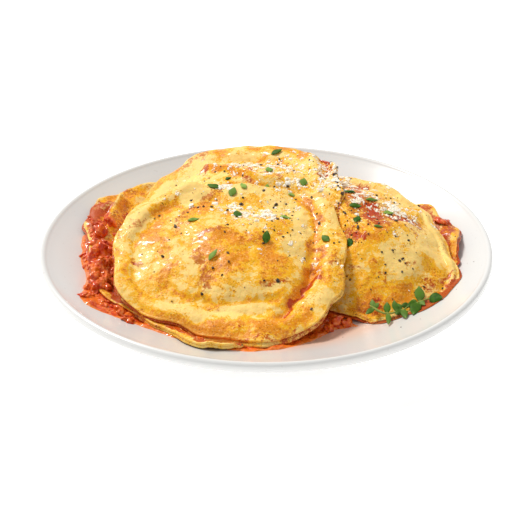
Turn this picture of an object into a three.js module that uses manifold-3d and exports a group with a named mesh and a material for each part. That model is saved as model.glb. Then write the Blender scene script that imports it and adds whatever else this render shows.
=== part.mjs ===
// A plate of baked round ravioli: six large filled ravioli lie in two layers on a white
// coupe plate, in a chunky meat and tomato sauce, with a sprig of thyme laid in front.
// Millimetres, +Z up. The origin is the centre of the plate's foot ring, on the table.
// +X is to the right and -Y is the side that faces the diner.
import * as THREE from 'three';
import { mergeVertices } from 'three/addons/utils/BufferGeometryUtils.js';
import Module from 'manifold-3d';

const wasm = await Module();
wasm.setup();

// ---------------------------------------------------------------- driving dimensions
const PLATE_RADIUS = 100;
const PLATE_HEIGHT = 21.2;
const WELL_RADIUS = 45; // the flat middle of the plate
const WELL_FLOOR = 5; // height of the eating surface above the table
const RIM_INNER_RADIUS = 96.4; // where the slope meets the rounded lip
const RIM_INNER_HEIGHT = 20;
const SLOPE_POWER = 1.7; // how late the coupe turns up
const FOOT_INNER = 47;
const FOOT_OUTER = 53;
const FOOT_RECESS = 2.2;
const LIP_WALL = 4.4; // thickness of the porcelain at the slope
const PLATE_SIDES = 48;

const RAVIOLO_RADIUS = 51; // a jumbo round raviolo is about 100 mm across
const SEALED_THICKNESS = 2.8; // two pasta sheets pressed together
const GAP = 0.4; // clearance between pieces that lie on each other
const TIDY = 0.1; // slivers finer than this are smoothed away after a cut
const SAUCE_BED = 1.9; // the sauce that lifts the pasta off the porcelain
const OVERHEAD = 60; // height of the space that a piece keeps free above itself

const TAU = 2 * Math.PI;
const radians = THREE.MathUtils.degToRad;

// ---------------------------------------------------------------- shared geometry helpers

// A smooth closed curve through values spaced evenly round the circle (Catmull-Rom).
function around(values, angle) {
  const n = values.length;
  const t = ((((angle / TAU) % 1) + 1) % 1) * n;
  const i = Math.floor(t);
  const f = t - i;
  const [a, b, c, d] = [-1, 0, 1, 2].map((k) => values[(i + k + n) % n]);
  return b + 0.5 * f * (c - a + f * (2 * a - 5 * b + 4 * c - d + f * (3 * (b - c) + d - a)));
}

// Height of the plate's eating surface at a distance from its centre.
function plateTop(radius) {
  const climb = Math.max(0, radius - WELL_RADIUS) / (RIM_INNER_RADIUS - WELL_RADIUS);
  return WELL_FLOOR + (RIM_INNER_HEIGHT - WELL_FLOOR) * climb ** SLOPE_POWER;
}

// A closed surface from rings of points: the first and last entries are single poles.
function closedRings(rings, segments) {
  const points = [];
  const faces = [];
  rings.forEach((ring) => points.push(...ring));
  const start = (i) => (i === 0 ? 0 : 1 + (i - 1) * segments);
  const last = rings.length - 1;
  for (let j = 0; j < segments; j++) {
    const k = (j + 1) % segments;
    faces.push(0, start(1) + j, start(1) + k);
    for (let i = 1; i < last - 1; i++) {
      const [a, b, c, d] = [start(i) + j, start(i) + k, start(i + 1) + j, start(i + 1) + k];
      faces.push(a, c, d, a, d, b);
    }
    faces.push(start(last), start(last - 1) + k, start(last - 1) + j);
  }
  const geometry = new THREE.BufferGeometry();
  geometry.setAttribute('position', new THREE.Float32BufferAttribute(points.flat(), 3));
  geometry.setIndex(faces);
  return geometry;
}

function solidFrom(geometry) {
  const bare = geometry.clone();
  bare.deleteAttribute('normal');
  bare.deleteAttribute('uv');
  const merged = mergeVertices(bare, 1e-4);
  return new wasm.Manifold(
    new wasm.Mesh({
      numProp: 3,
      vertProperties: merged.attributes.position.array,
      triVerts: new Uint32Array(merged.index.array),
    }),
  );
}

function geometryFrom(solid) {
  const mesh = solid.getMesh();
  const geometry = new THREE.BufferGeometry();
  geometry.setAttribute('position', new THREE.BufferAttribute(mesh.vertProperties, 3));
  geometry.setIndex(new THREE.BufferAttribute(mesh.triVerts, 1));
  return geometry;
}

// The same surface pushed out along its normals, so that what it cuts keeps a clearance.
function swollen(geometry, distance) {
  const bare = geometry.clone();
  bare.deleteAttribute('normal');
  bare.deleteAttribute('uv');
  const grown = mergeVertices(bare, 1e-4);
  grown.computeVertexNormals();
  const { position, normal } = grown.attributes;
  for (let i = 0; i < position.count; i++) {
    position.setXYZ(
      i,
      position.getX(i) + distance * normal.getX(i),
      position.getY(i) + distance * normal.getY(i),
      position.getZ(i) + distance * normal.getZ(i),
    );
  }
  return grown;
}

function largestBody(solid) {
  return solid.decompose().reduce((best, body) => (body.volume() > best.volume() ? body : best));
}

function inPlace(mesh) {
  mesh.updateMatrixWorld(true);
  return mesh.geometry.clone().applyMatrix4(mesh.matrixWorld);
}

// What a placed mesh cuts out of its neighbours: its shape, its clearance, and with overhead
// the space above it too, so that nothing under it can rise over its top.
function clearanceOf(mesh, overhead = 0) {
  const grown = swollen(inPlace(mesh), GAP);
  const { position, normal } = grown.attributes;
  const upward = 0.3;
  for (let i = 0; i < position.count; i++) {
    if (normal.getZ(i) > upward) position.setZ(i, position.getZ(i) + overhead);
  }
  return solidFrom(grown);
}

// Cuts a placed mesh back from its neighbours, and keeps it in its own frame.
function settle(mesh, clearances) {
  const cut = clearances.reduce((rest, there) => rest.subtract(there), solidFrom(inPlace(mesh)));
  const kept = largestBody(cut).simplify(TIDY);
  mesh.geometry = geometryFrom(kept).applyMatrix4(mesh.matrixWorld.clone().invert());
}

// ---------------------------------------------------------------- materials
const porcelain = new THREE.MeshStandardMaterial({ color: 0xf1f0ec, roughness: 0.12 });
const pasta = new THREE.MeshStandardMaterial({ color: 0xf0c878, roughness: 0.38 });
const tomato = new THREE.MeshStandardMaterial({ color: 0xb43a18, roughness: 0.25 });
const thyme = new THREE.MeshStandardMaterial({ color: 0x3f7a2a, roughness: 0.5 });

// ---------------------------------------------------------------- the plate
// A coupe plate: a flat well that turns up in one curve to a thick rounded lip, on a foot ring.
function makePlate() {
  const slopeSteps = 5;
  const innerSlope = [];
  for (let i = slopeSteps; i >= 0; i--) {
    const radius = WELL_RADIUS + ((RIM_INNER_RADIUS - WELL_RADIUS) * i) / slopeSteps;
    innerSlope.push([radius, plateTop(radius)]);
  }
  const underside = [68, 84, 95].map((radius) => [radius, plateTop(radius) - LIP_WALL]);
  const lip = [
    [99.2, PLATE_HEIGHT - 4.4],
    [PLATE_RADIUS, PLATE_HEIGHT - 2.6],
    [99.4, PLATE_HEIGHT - 0.7],
    [98.1, PLATE_HEIGHT],
  ];
  const profile = [
    [0, FOOT_RECESS],
    [FOOT_INNER - 1, FOOT_RECESS],
    [FOOT_INNER, 0],
    [FOOT_OUTER, 0],
    [FOOT_OUTER + 1.5, 1.6],
    ...underside,
    ...lip,
    ...innerSlope,
    [0, WELL_FLOOR],
  ].map(([radius, height]) => new THREE.Vector2(radius, height));
  const geometry = new THREE.LatheGeometry(profile, PLATE_SIDES);
  geometry.rotateX(Math.PI / 2); // a lathe turns about Y, and the plate stands along Z
  const mesh = new THREE.Mesh(geometry, porcelain);
  mesh.name = 'plate';
  return mesh;
}

// ---------------------------------------------------------------- ravioli
// One raviolo: two round pasta sheets sealed round a filling. radii and lift are its outline
// and the height of its limp edge, every 30 degrees anticlockwise from +X; crown and belly are
// the filling's swell above and below the sealed rim, and swell is where the filling sits.
const WAVES_IN_OUTLINE = 13; // small waves along the cut edge, seen from above
const WAVES_IN_EDGE = 9; // and up and down
const EDGE_HOLD = 8; // how close to the edge the up and down waves keep
const DROOP = 2.2; // how late the sheet bends from the middle to its limp edge
const POCKET_FLATNESS = 2.6; // how flat the top of the filling is
const POCKET_FOOT = 0.85; // how steeply the filling meets the sealed rim
const BEVEL_SHARE = 0.985; // where each sheet ends
const EDGE_SHARE = 1.012; // where the seam between them stands out

function makeRaviolo({ name, radii, lift, crown, belly, rim, swell, ripple, at, tilt, detail }) {
  const [segments, topRings, bottomRings] = detail;
  const half = SEALED_THICKNESS / 2;

  function spot(share, angle, side) {
    const edge = around(radii, angle) + ripple * Math.sin(angle * WAVES_IN_OUTLINE + crown);
    const radius = edge * Math.min(share, 1) + Math.max(0, share - 1) * RAVIOLO_RADIUS;
    const x = radius * Math.cos(angle);
    const y = radius * Math.sin(angle);
    const pocket = Math.hypot(x - swell[0], y - swell[1]);
    const fill = Math.min(1, pocket / (edge - rim - (swell[0] * x + swell[1] * y) / edge));
    const bulge = (1 - fill ** POCKET_FLATNESS) ** POCKET_FOOT;
    const outward = Math.min(share, 1);
    const drape = around(lift, angle) * outward ** DROOP;
    const flutter = ripple * Math.sin(angle * WAVES_IN_EDGE + belly) * outward ** EDGE_HOLD;
    const height = side > 0 ? half + crown * bulge : -half - belly * bulge;
    return [x, y, drape + flutter + (side === 0 ? 0 : height)];
  }

  const ring = (share, side) =>
    Array.from({ length: segments }, (_, j) => spot(share, (j / segments) * TAU, side));
  const rings = [[spot(0, 0, 1)]];
  for (let i = 1; i <= topRings; i++) rings.push(ring((BEVEL_SHARE * i) / topRings, 1));
  rings.push(ring(EDGE_SHARE, 0));
  for (let i = bottomRings; i >= 1; i--) rings.push(ring((BEVEL_SHARE * i) / bottomRings, -1));
  rings.push([spot(0, 0, -1)]);

  const mesh = new THREE.Mesh(closedRings(rings, segments), pasta);
  mesh.name = name;
  mesh.position.set(...at);
  mesh.rotation.set(radians(tilt[0]), radians(-tilt[1]), 0); // back edge up, right edge up
  return mesh;
}

// Sides round the outline, rings on the top and rings on the underside.
const FINE = [44, 8, 3];
const COARSE = [34, 5, 2];

const front = makeRaviolo({
  name: 'raviolo_front',
  radii: [47.5, 50.5, 50, 50, 49, 51, 52, 51.5, 51.5, 53, 52, 48.5],
  lift: [1, 1, 0, 0, 0, 1, 0, -1, -1, -1, 0, 1],
  crown: 8,
  belly: 2,
  rim: 14,
  swell: [-2, 1],
  ripple: 0.8,
  at: [-13.5, -19.5, 25],
  tilt: [16, 0],
  detail: FINE,
});

const back = makeRaviolo({
  name: 'raviolo_back',
  radii: [50, 51, 50, 50, 48, 48, 51, 53, 51, 51, 51, 51],
  lift: [4, 2, 0, 0, -2, -5, -5, -3, 0, 0, 0, 2],
  crown: 8,
  belly: 4,
  rim: 14,
  swell: [3, 4],
  ripple: 0.8,
  at: [-15, 19, 27.5],
  tilt: [8, 8],
  detail: FINE,
});

const right = makeRaviolo({
  name: 'raviolo_right',
  radii: [44.5, 43, 44, 48, 49, 48, 48, 48, 49, 52, 52.5, 49],
  lift: [-4, -2, 1, 2, 0, 0, 0, 0, -4, -6, -7, -7],
  crown: 13,
  belly: 4,
  rim: 9,
  swell: [0, 4],
  ripple: 0.6,
  at: [36.5, -3.5, 19],
  tilt: [12, 3],
  detail: FINE,
});

const lowerRight = makeRaviolo({
  name: 'raviolo_lower_right',
  radii: [49.5, 50, 49, 46, 45, 45, 45, 45, 45, 42, 42, 45],
  lift: [7, 7, 6, 4, 0, 0, 0, 0, 0, 0, 0, 2],
  crown: 5,
  belly: 2,
  rim: 11,
  swell: [0, 0],
  ripple: 1.2,
  at: [37, 3, 11.5],
  tilt: [0, 0],
  detail: COARSE,
});

const lowerLeft = makeRaviolo({
  name: 'raviolo_lower_left',
  radii: [45, 45, 46, 45, 48, 51, 49.5, 48, 46, 45, 45, 45],
  lift: [0, 0, 1, 2, 5, 7, 7, 3, 1, 0, 0, 0],
  crown: 5,
  belly: 2,
  rim: 11,
  swell: [0, 0],
  ripple: 1.0,
  at: [-32.5, 18, 11.5],
  tilt: [0, 0],
  detail: COARSE,
});

const lowerFront = makeRaviolo({
  name: 'raviolo_lower_front',
  radii: [44, 44, 44, 44, 46, 46, 45.5, 45.5, 46, 50.5, 46, 43],
  lift: [0, 0, 1, 1, 2, 4, 5, 5.5, 5.5, 5, 1, 0],
  crown: 4,
  belly: 2,
  rim: 11,
  swell: [0, 0],
  ripple: 1.0,
  at: [-27, -23, 10.5],
  tilt: [0, 0],
  detail: COARSE,
});

// ---------------------------------------------------------------- the sauce
// A thin bed of chunky sauce under the ravioli, with its outline every 30 degrees, and the
// heaps that well up between them.
const SAUCE_REACH = [80, 74, 68, 62, 68, 80, 81, 86, 80, 70, 58, 74];
const SAUCE_SKIN = SAUCE_BED - 0.7;
const SAUCE_ROOT = 2.4; // it starts inside the porcelain, which then shapes its underside
const EDGE_FALL = 0.9; // how far the sauce thins at its outline
const SAUCE_HEAPS = [
  { x: -72, y: -7, spread: 11, height: 11 },
  { x: -76, y: 13, spread: 9, height: 8 },
  { x: -70, y: -22, spread: 9, height: 6 },
  { x: 14, y: -50, spread: 12, height: 4 },
];

function makeSauce() {
  const [segments, topRings, bottomRings] = [38, 8, 3];
  function spot(share, angle, side) {
    const radius = around(SAUCE_REACH, angle) * share;
    const x = radius * Math.cos(angle);
    const y = radius * Math.sin(angle);
    const bed = plateTop(radius) + GAP;
    if (side < 0) return [x, y, bed - SAUCE_ROOT];
    const heaped = SAUCE_HEAPS.reduce((sum, heap) => {
      const away = Math.hypot(x - heap.x, y - heap.y) / heap.spread;
      return sum + heap.height * Math.exp(-away * away);
    }, 0);
    const meniscus = Math.sqrt(1 - EDGE_FALL * share ** EDGE_HOLD);
    return [x, y, bed + (SAUCE_SKIN - GAP + heaped) * meniscus];
  }
  const ring = (share, side) =>
    Array.from({ length: segments }, (_, j) => spot(share, (j / segments) * TAU, side));
  const rings = [[spot(0, 0, 1)]];
  for (let i = 1; i <= topRings; i++) rings.push(ring(i / topRings, 1));
  for (let i = bottomRings; i >= 1; i--) rings.push(ring(i / bottomRings, -1));
  rings.push([spot(0, 0, -1)]);
  const mesh = new THREE.Mesh(closedRings(rings, segments), tomato);
  mesh.name = 'sauce';
  return mesh;
}

// ---------------------------------------------------------------- the thyme sprig
// A bowed stem with pairs of small pointed oval leaves, laid along the front of the dish.
const STEM = [
  [45, -43.6, 13.0],
  [48, -46.2, 12.7],
  [51.2, -47.2, 12.4],
  [54.9, -45.5, 12.2],
  [58.5, -43.3, 12.3],
  [61, -40.5, 12.5],
  [65.2, -38.5, 13.0],
  [69, -37.4, 13.9],
];
const STEM_RADIUS = 0.45;
const STEM_SIDES = 6;
const LEAF_THICKNESS = 0.8;
const LEAF_SEAT = 0.45; // the leaf's middle, so that its base sinks into the stem
// Each leaf: how far along the stem it grows, its heading, its rise, its length and width.
const LEAVES = [
  [0.04, 92, 14, 4.2, 1.7],
  [0.05, -131, 2, 5.4, 1.8],
  [0.06, 47, 14, 3.4, 1.6],
  [0.27, 87, 12, 6.2, 2.2],
  [0.29, -91, 3, 8, 1.8],
  [0.43, 96, 10, 6.4, 2.2],
  [0.51, 137, 20, 4.2, 2],
  [0.53, -85, 9, 7.4, 2.2],
  [0.51, -131, 6, 4.4, 1.9],
  [0.7, -162, 14, 3.6, 2],
  [0.83, -137, 8, 6.2, 2.3],
  [0.83, -104, 6, 10, 3.4],
  [0.85, 87, 10, 8.8, 3.2],
  [0.85, -62, 12, 3.8, 1.8],
  [0.82, -171, 18, 3.2, 1.8],
  [1, -22, 22, 6.3, 3.8],
];

function makeSprig() {
  const line = new THREE.CatmullRomCurve3(STEM.map((point) => new THREE.Vector3(...point)));
  const stemSteps = 10;
  const sides = new THREE.Shape();
  sides.absarc(0, 0, STEM_RADIUS, 0, TAU);
  const stem = new THREE.ExtrudeGeometry(sides, {
    steps: stemSteps,
    extrudePath: line,
    curveSegments: STEM_SIDES / 2, // counted per half turn
  });
  const leaves = LEAVES.map(([along, heading, rise, length, width]) => {
    const leaf = new THREE.SphereGeometry(1, 6, 3);
    leaf.rotateZ(Math.PI / 2); // the poles become the base and the tip
    leaf.scale(length / 2, width / 2, LEAF_THICKNESS / 2);
    leaf.translate(LEAF_SEAT * length, 0, 0);
    leaf.rotateY(radians(-rise));
    leaf.rotateZ(radians(heading));
    return solidFrom(leaf.translate(...line.getPoint(along)));
  });
  const whole = leaves.reduce((sum, leaf) => sum.add(leaf), solidFrom(stem));
  const mesh = new THREE.Mesh(geometryFrom(largestBody(whole)), thyme);
  mesh.name = 'thyme_sprig';
  return mesh;
}

// ---------------------------------------------------------------- assembly
// Each raviolo yields to the ones before it in this list, and all of them to the plate.
const plate = makePlate();
const layers = [front, back, right, lowerRight, lowerLeft, lowerFront];
const sauce = makeSauce();

const porcelainClearance = clearanceOf(plate);
const pastaClearances = layers.map((piece) => clearanceOf(piece));
const raised = porcelainClearance.translate([0, 0, SAUCE_BED - GAP]);
const columns = layers.map((piece) => clearanceOf(piece, OVERHEAD));
layers.forEach((piece, i) => settle(piece, [raised, ...columns.slice(0, i)]));
settle(sauce, [porcelainClearance, ...pastaClearances]);
const sprig = makeSprig();
settle(sprig, [porcelainClearance, ...pastaClearances, clearanceOf(sauce)]);

const dish = new THREE.Group();
dish.add(plate, ...layers, sauce, sprig);

export default dish;
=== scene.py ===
import math

import bmesh
import bpy
import numpy as np
from mathutils import Matrix, Vector
from mathutils.bvhtree import BVHTree


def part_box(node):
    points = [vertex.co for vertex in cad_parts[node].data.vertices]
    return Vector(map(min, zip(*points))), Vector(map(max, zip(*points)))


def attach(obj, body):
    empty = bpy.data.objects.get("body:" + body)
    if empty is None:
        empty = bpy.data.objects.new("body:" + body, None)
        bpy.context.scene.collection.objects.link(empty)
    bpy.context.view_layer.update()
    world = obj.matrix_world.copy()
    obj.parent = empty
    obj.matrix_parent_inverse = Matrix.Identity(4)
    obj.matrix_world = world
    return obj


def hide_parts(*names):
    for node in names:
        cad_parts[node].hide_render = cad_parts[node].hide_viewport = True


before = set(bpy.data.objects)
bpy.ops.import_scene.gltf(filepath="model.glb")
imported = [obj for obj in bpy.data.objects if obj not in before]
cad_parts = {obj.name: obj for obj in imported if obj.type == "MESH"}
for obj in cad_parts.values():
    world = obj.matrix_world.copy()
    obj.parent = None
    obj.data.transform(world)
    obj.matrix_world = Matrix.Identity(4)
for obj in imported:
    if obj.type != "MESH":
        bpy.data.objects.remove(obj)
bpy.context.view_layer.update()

MM = 0.001
scene = bpy.context.scene


# ------------------------------------------------------------------ the plate
# One turned piece of white porcelain: a flat well that climbs in a single curve to a thick
# rounded lip. It is dipped in clear glaze and fired standing on its foot ring, which is
# wiped dry of glaze first and so stays matt.
plate_low, plate_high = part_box("plate")
plate_middle = (plate_low + plate_high) / 2
PLATE_CENTRE = np.array([plate_middle.x, plate_middle.y, plate_low.z]) / MM
PLATE_RADIUS = (plate_high.x - plate_low.x) / 2 / MM
PLATE_HEIGHT = (plate_high.z - plate_low.z) / MM
WELL_RADIUS = 0.45 * PLATE_RADIUS
WELL_FLOOR = 5.0
SLOPE_END = 0.964 * PLATE_RADIUS
SLOPE_RISE = PLATE_HEIGHT - 1.2 - WELL_FLOOR
SLOPE_POWER = 1.7


class Field:
    """A number that changes over a surface. Arithmetic on it adds Math nodes."""

    def __init__(self, finish, socket):
        self.finish = finish
        self.socket = socket

    def maths(self, operation, first, second):
        return self.finish.node("ShaderNodeMath", {"operation": operation}, {0: first, 1: second})

    def __add__(self, other):
        return self.maths("ADD", self, other)

    def __sub__(self, other):
        return self.maths("SUBTRACT", self, other)

    def __rsub__(self, other):
        return self.maths("SUBTRACT", other, self)

    def __mul__(self, other):
        return self.maths("MULTIPLY", self, other)

    __radd__ = __add__
    __rmul__ = __mul__

    def above(self, low, high):
        """0 below low, 1 above high, and a smooth step between them."""
        return self.finish.node(
            "ShaderNodeMapRange",
            {"interpolation_type": "SMOOTHSTEP"},
            {"Value": self, "From Min": low, "From Max": high},
        )


class Finish:
    """A procedural material, put together node by node."""

    def __init__(self, name):
        self.material = bpy.data.materials.new(name)
        self.material.use_nodes = True
        self.tree = self.material.node_tree
        self.tree.nodes.clear()

    def node(self, kind, settings=None, sockets=None, output=0):
        made = self.tree.nodes.new(kind)
        for key, value in (settings or {}).items():
            setattr(made, key, value)
        for key, value in (sockets or {}).items():
            if isinstance(value, Field):
                self.tree.links.new(value.socket, made.inputs[key])
            elif value is not None:
                made.inputs[key].default_value = value
        return Field(self, made.outputs[output]) if len(made.outputs) else None

    def place(self):
        return self.node("ShaderNodeTexCoord", output="Object")

    def mask(self, name):
        return self.node("ShaderNodeAttribute", {"attribute_name": name}, output="Fac")

    def grain(self, size, detail=2.0, roughness=0.5, stretch=(1, 1, 1), distortion=0.0):
        """Noise whose lumps are about size mm across."""
        place = self.node(
            "ShaderNodeVectorMath", {"operation": "MULTIPLY"}, {0: self.place(), 1: stretch}
        )
        return self.node(
            "ShaderNodeTexNoise",
            sockets={
                "Vector": place,
                "Scale": 1 / (size * MM),
                "Detail": detail,
                "Roughness": roughness,
                "Distortion": distortion,
            },
        )

    def cells(self, size):
        """Distance to the nearest of points scattered about size mm apart, smoothed."""
        sockets = {"Vector": self.place(), "Scale": 1 / (size * MM), "Smoothness": 0.4}
        return self.node("ShaderNodeTexVoronoi", {"feature": "SMOOTH_F1"}, sockets, output="Distance")

    def tint(self, mask, under, over):
        """The colour under, with the colour over laid on it as thick as the mask."""
        return self.node(
            "ShaderNodeMix",
            {"data_type": "RGBA", "clamp_factor": True},
            {0: mask, 6: under, 7: over},
            output=2,
        )

    def relief(self, height, depth, under=None):
        """Bump of a height field, depth mm deep."""
        return self.node(
            "ShaderNodeBump",
            sockets={"Height": height, "Distance": depth * MM, "Strength": 1.0, "Normal": under},
        )

    def surface(self, sockets):
        body = self.node("ShaderNodeBsdfPrincipled", sockets=sockets)
        self.node("ShaderNodeOutputMaterial", sockets={"Surface": body})
        return self.material


def colour(red, green, blue):
    """A colour as the eye reads it, 0 to 255, turned into the linear values that shaders use."""
    parts = [value / 255 for value in (red, green, blue)]
    return [p / 12.92 if p <= 0.04045 else ((p + 0.055) / 1.055) ** 2.4 for p in parts] + [1.0]


def between(a, b, c, d, t):
    """A smooth curve from b at t = 0 to c at t = 1, with a before it and d after it."""
    bend = 2 * a - 5 * b + 4 * c - d
    return b + 0.5 * t * (c - a + t * (bend + t * (3 * (b - c) + d - a)))


def smooth_line(points, steps):
    """A smooth open line through the points, in so many steps from each to the next."""
    ends = np.vstack([2 * points[0] - points[1], points, 2 * points[-1] - points[-2]])
    t = np.linspace(0, 1, steps, endpoint=False)[:, None]
    parts = [between(*four, t) for four in zip(ends, ends[1:], ends[2:], ends[3:])]
    return np.vstack(parts + [points[-1:]])


def plate_top(radius):
    """Height of the eating surface at a distance from the middle."""
    climb = np.maximum(0, radius - WELL_RADIUS) / (SLOPE_END - WELL_RADIUS)
    return WELL_FLOOR + SLOPE_RISE * climb**SLOPE_POWER


def ring_faces(rings, sides):
    """Faces of a closed skin: a pole, then rings of points, then another pole."""
    side = np.arange(sides)
    after = (side + 1) % sides
    start = 1 + np.arange(rings)[:, None] * sides
    quads = np.stack(
        [start[:-1] + side, start[1:] + side, start[1:] + after, start[:-1] + after], axis=-1
    ).reshape(-1, 4)
    first = np.stack([0 * side, 1 + side, 1 + after], axis=-1)
    last_ring = 1 + (rings - 1) * sides
    last = np.stack([0 * side + last_ring + sides, last_ring + after, last_ring + side], axis=-1)
    return quads.tolist() + first.tolist() + last.tolist()


laid = []


def add_piece(name, points, faces, material, nodes=(), masks=None):
    laid.append((np.asarray(points), faces))
    mesh = bpy.data.meshes.new(name)
    mesh.from_pydata((np.asarray(points) * MM).tolist(), [], faces)
    for key, values in (masks or {}).items():
        mesh.attributes.new(key, "FLOAT", "POINT").data.foreach_set("value", np.ravel(values))
    mesh.materials.append(material)
    mesh.shade_smooth()
    piece = bpy.data.objects.new(name, mesh)
    scene.collection.objects.link(piece)
    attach(piece, "root")
    if nodes:
        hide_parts(*nodes)
    return piece


def make_plate():
    """The plate turned from its profile: inside, lip, underside, foot ring and recess."""
    radius = PLATE_RADIUS
    foot_radius = 50
    recess_height = 2.2
    well = np.linspace(4, WELL_RADIUS, 10)
    slope = np.linspace(WELL_RADIUS, SLOPE_END - 2.5, 26)[1:]
    inside = [(r, plate_top(r)) for r in [*well, *slope]]
    lip = np.array([
        (radius - 4.9, PLATE_HEIGHT - 1.75),
        (radius - 3.5, PLATE_HEIGHT - 0.95),
        (radius - 2.5, PLATE_HEIGHT - 0.25),
        (radius - 1.5, PLATE_HEIGHT),
        (radius - 0.6, PLATE_HEIGHT - 0.45),
        (radius - 0.1, PLATE_HEIGHT - 1.4),
        (radius, PLATE_HEIGHT - 2.7),
        (radius - 0.5, PLATE_HEIGHT - 3.9),
        (radius - 1.8, PLATE_HEIGHT - 4.9),
        (radius - 5, PLATE_HEIGHT - 6.6),
    ])
    under = [(r, plate_top(r) - 4.4) for r in np.linspace(radius - 8, 62, 14)]
    foot = np.array([
        (56.5, 2.6),
        (54.3, 1.6),
        (53.4, 0.5),
        (52.4, 0.0),
        (47.6, 0.0),
        (46.7, 0.6),
        (45.8, 1.9),
        (44.0, recess_height),
    ])
    recess = [(r, recess_height) for r in (36, 24, 12, 4)]
    lip_line = smooth_line(lip, 5)
    foot_line = smooth_line(foot, 3)
    profile = np.vstack([inside, lip_line, under, foot_line, recess])
    sides = 240
    angle = np.arange(sides) * 2 * math.pi / sides
    turned = np.stack(
        [
            profile[:, :1] * np.cos(angle),
            profile[:, :1] * np.sin(angle),
            np.repeat(profile[:, 1:], sides, axis=1),
        ],
        axis=-1,
    ).reshape(-1, 3)
    points = np.vstack([(0, 0, WELL_FLOOR), turned, (0, 0, recess_height)]) + PLATE_CENTRE
    out = np.linalg.norm(points[:, :2] - PLATE_CENTRE[:2], axis=1)
    heading = np.degrees(np.arctan2(points[:, 1], points[:, 0])) % 360
    # Painted shadow and reflection: an orange-tan band on the plate beside the sauce at the front. It is
    # partly a thin oil film and partly the painted shadow of the ravioli, with the sauce's orange painted
    # in as a reflection.
    sauce_side_oil_and_shade = np.exp(-(((heading - 290) / 24) ** 2)) * np.exp(-(((out - 64) / 9) ** 2))
    on_top = np.arange(len(points)) < len(inside) * sides
    on_foot = (points[:, 2] < PLATE_CENTRE[2] + 0.6) & (np.abs(out - foot_radius) < 3.5)
    masks = {
        "dry": on_foot.astype(float),
        # rise: 0 in the well and 1 at the rim; painted light, lifting the glaze from the painted shade of
        # the well to a lighter rim
        "rise": np.clip((out - 76) / 20, 0, 1),
        "oil_and_painted_shade": sauce_side_oil_and_shade * on_top,
    }

    glaze = Finish("white_glaze")
    pooling = glaze.grain(38, detail=1)
    pinholes = glaze.grain(1.6, detail=1).above(0.70, 0.76)
    bare = glaze.mask("dry").above(0.3, 0.7)
    # Painted shade: the glaze is painted grey in the well and lighter toward the rim, standing in for the
    # shade that the food and the light leave in the well.
    white = glaze.tint(pooling, colour(212, 210, 206), colour(217, 215, 212))
    white = glaze.tint(glaze.mask("rise"), white, colour(226, 226, 224))
    # Painted shadow and reflection, partly oil film: the orange-tan band beside the sauce at the front.
    white = glaze.tint(glaze.mask("oil_and_painted_shade") * (pooling + 0.1), white, colour(240, 160, 96))
    white = glaze.tint(pinholes * 0.35, white, colour(206, 202, 196))
    white = glaze.tint(bare, white, colour(205, 196, 182))
    waves = glaze.relief(glaze.grain(16, detail=1), 0.05)
    material = glaze.surface({
        "Base Color": white,
        "Roughness": glaze.grain(22, detail=2) * 0.08 + 0.2 + bare * 0.5,
        "Coat Weight": 0.25 - bare * 0.25,
        "Coat Roughness": 0.12,
        "Normal": glaze.relief(glaze.grain(0.5, detail=0) * bare, 0.06, waves),
    })
    faces = ring_faces(len(profile), sides)
    add_piece("porcelain_plate", points, faces, material, ["plate"], masks)


make_plate()


# ------------------------------------------------------------------ the ravioli
# Each raviolo is two rounds of egg pasta pressed together at the rim over a soft filling,
# boiled and then baked, so that it is limp, blistered and browned on top. Three lie on top
# of three others that show only at their edges.
def around(values, angle):
    """A smooth closed curve through values spaced evenly round the circle, or one value."""
    values = np.atleast_1d(np.asarray(values, float))
    t = (angle / (2 * math.pi) % 1) * len(values)
    i = np.floor(t).astype(int)
    return between(*(values[(i + k) % len(values)] for k in (-1, 0, 1, 2)), t - i)


def level(x, y):
    """Points at height 0."""
    return np.stack([x, y, 0 * x], axis=-1)


def bearing(degrees):
    """Cosine and sine of an angle."""
    return math.cos(math.radians(degrees)), math.sin(math.radians(degrees))


def hills(points, size, seed):
    """Smooth random hills and hollows from about -1 to 1, size mm across."""
    lattice = np.random.default_rng(seed).uniform(-1.6, 1.6, (32, 32, 32))
    turn = np.array([[0.8, 0.36, -0.48], [-0.6, 0.48, -0.64], [0, 0.8, 0.6]])
    at = points @ turn / size
    cell = np.floor(at).astype(int)
    part = at - cell
    part = part * part * (3 - 2 * part)
    total = 0
    for corner in np.ndindex(2, 2, 2):
        i, j, k = np.moveaxis((cell + corner) % 32, -1, 0)
        total = total + np.prod(np.where(corner, part, 1 - part), axis=-1) * lattice[i, j, k]
    return total


def stroke(x, y, width, line):
    """1 along a line of points and falling to 0 about width mm to each side of it."""
    away = np.full(np.shape(x), 1e9)
    for (ax, ay), (bx, by) in zip(line, line[1:]):
        length_squared = (bx - ax) ** 2 + (by - ay) ** 2 + 1e-9
        t = np.clip(((x - ax) * (bx - ax) + (y - ay) * (by - ay)) / length_squared, 0, 1)
        away = np.minimum(away, np.hypot(x - ax - t * (bx - ax), y - ay - t * (by - ay)))
    return np.exp(-((away / width) ** 2))


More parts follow.
